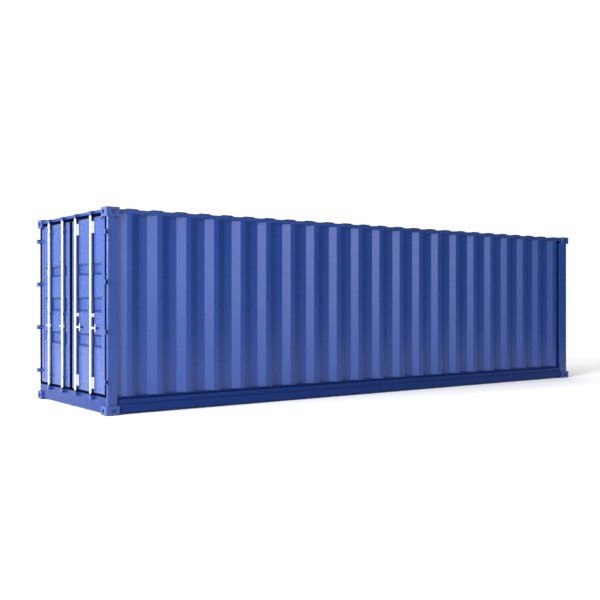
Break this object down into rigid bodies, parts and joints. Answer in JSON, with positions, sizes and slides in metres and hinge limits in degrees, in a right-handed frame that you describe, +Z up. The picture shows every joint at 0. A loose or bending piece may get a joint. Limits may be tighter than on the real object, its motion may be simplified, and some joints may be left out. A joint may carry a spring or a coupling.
{
  "type": "shipping container",
  "caption": "Long corrugated steel cargo box with corner castings, a plywood floor and two hinged end doors held shut by turning locking bars.",
  "frame": {"origin": "middle of the underside, at the level of the bottom corner castings", "axes": "+X along the container from the door end towards the blank front wall, +Z up, -Y towards the right-hand side as seen facing the doors"},
  "size_m": [9.144, 2.438, 2.591],
  "materials": {
    "container_paint": "satin blue marine paint on corrugated steel",
    "casting_paint": "satin blue paint on rough cast steel",
    "galvanised_steel": "bright zinc-coated steel",
    "door_rubber": "matt black rubber seal",
    "floor_plywood": "worn brown plywood boards"
  },
  "bodies": {
    "container": {"bar_keepers": "container_paint", "bottom_casting_door_left": "casting_paint", "bottom_casting_door_right": "casting_paint", "bottom_casting_front_left": "casting_paint", "bottom_casting_front_right": "casting_paint", "bottom_side_rail_left": "container_paint", "bottom_side_rail_right": "container_paint", "door_header": "container_paint", "door_post_left": "container_paint", "door_post_right": "container_paint", "door_sill": "container_paint", "floor": "floor_plywood", "floor_bearers": "container_paint", "front_bottom_rail": "container_paint", "front_post_left": "container_paint", "front_post_right": "container_paint", "front_top_rail": "container_paint", "front_wall": "container_paint", "hinge_lugs": "container_paint", "roof": "container_paint", "side_wall_left": "container_paint", "side_wall_right": "container_paint", "top_casting_door_left": "casting_paint", "top_casting_door_right": "casting_paint", "top_casting_front_left": "casting_paint", "top_casting_front_right": "casting_paint", "top_side_rail_left": "container_paint", "top_side_rail_right": "container_paint"},
    "right_door": {"right_bar_brackets": "galvanised_steel", "right_door_frame": "container_paint", "right_door_gasket": "door_rubber", "right_door_panel": "container_paint", "right_hinge_blades": "container_paint"},
    "left_door": {"left_bar_brackets": "container_paint", "left_door_frame": "container_paint", "left_door_gasket": "door_rubber", "left_door_panel": "container_paint", "left_hinge_blades": "container_paint"},
    "right_outer_bar": {"right_outer_locking_bar": "galvanised_steel", "right_outer_handle": "galvanised_steel"},
    "right_inner_bar": {"right_inner_locking_bar": "galvanised_steel", "right_inner_handle": "galvanised_steel"},
    "left_inner_bar": {"left_inner_locking_bar": "galvanised_steel", "left_inner_handle": "galvanised_steel"},
    "left_outer_bar": {"left_outer_locking_bar": "galvanised_steel", "left_outer_handle": "galvanised_steel"}
  },
  "joints": [
    {"name": "right_door_hinge", "type": "hinge", "parent": "container", "child": "right_door", "pos_m": [-4.5725, -1.209, 1.35], "axis": [0, 0, 1], "range_deg": [0, 270]},
    {"name": "left_door_hinge", "type": "hinge", "parent": "container", "child": "left_door", "pos_m": [-4.5725, 1.209, 1.35], "axis": [0, 0, -1], "range_deg": [0, 270]},
    {"name": "right_outer_bar_turn", "type": "hinge", "parent": "right_door", "child": "right_outer_bar", "pos_m": [-4.566, -0.7395, 1.079], "axis": [0, 0, 1], "range_deg": [-90, 0]},
    {"name": "right_inner_bar_turn", "type": "hinge", "parent": "right_door", "child": "right_inner_bar", "pos_m": [-4.566, -0.2325, 1.079], "axis": [0, 0, 1], "range_deg": [-90, 0]},
    {"name": "left_inner_bar_turn", "type": "hinge", "parent": "left_door", "child": "left_inner_bar", "pos_m": [-4.566, 0.2325, 1.079], "axis": [0, 0, -1], "range_deg": [-90, 0]},
    {"name": "left_outer_bar_turn", "type": "hinge", "parent": "left_door", "child": "left_outer_bar", "pos_m": [-4.566, 0.7395, 1.079], "axis": [0, 0, -1], "range_deg": [-90, 0]}
  ]
}
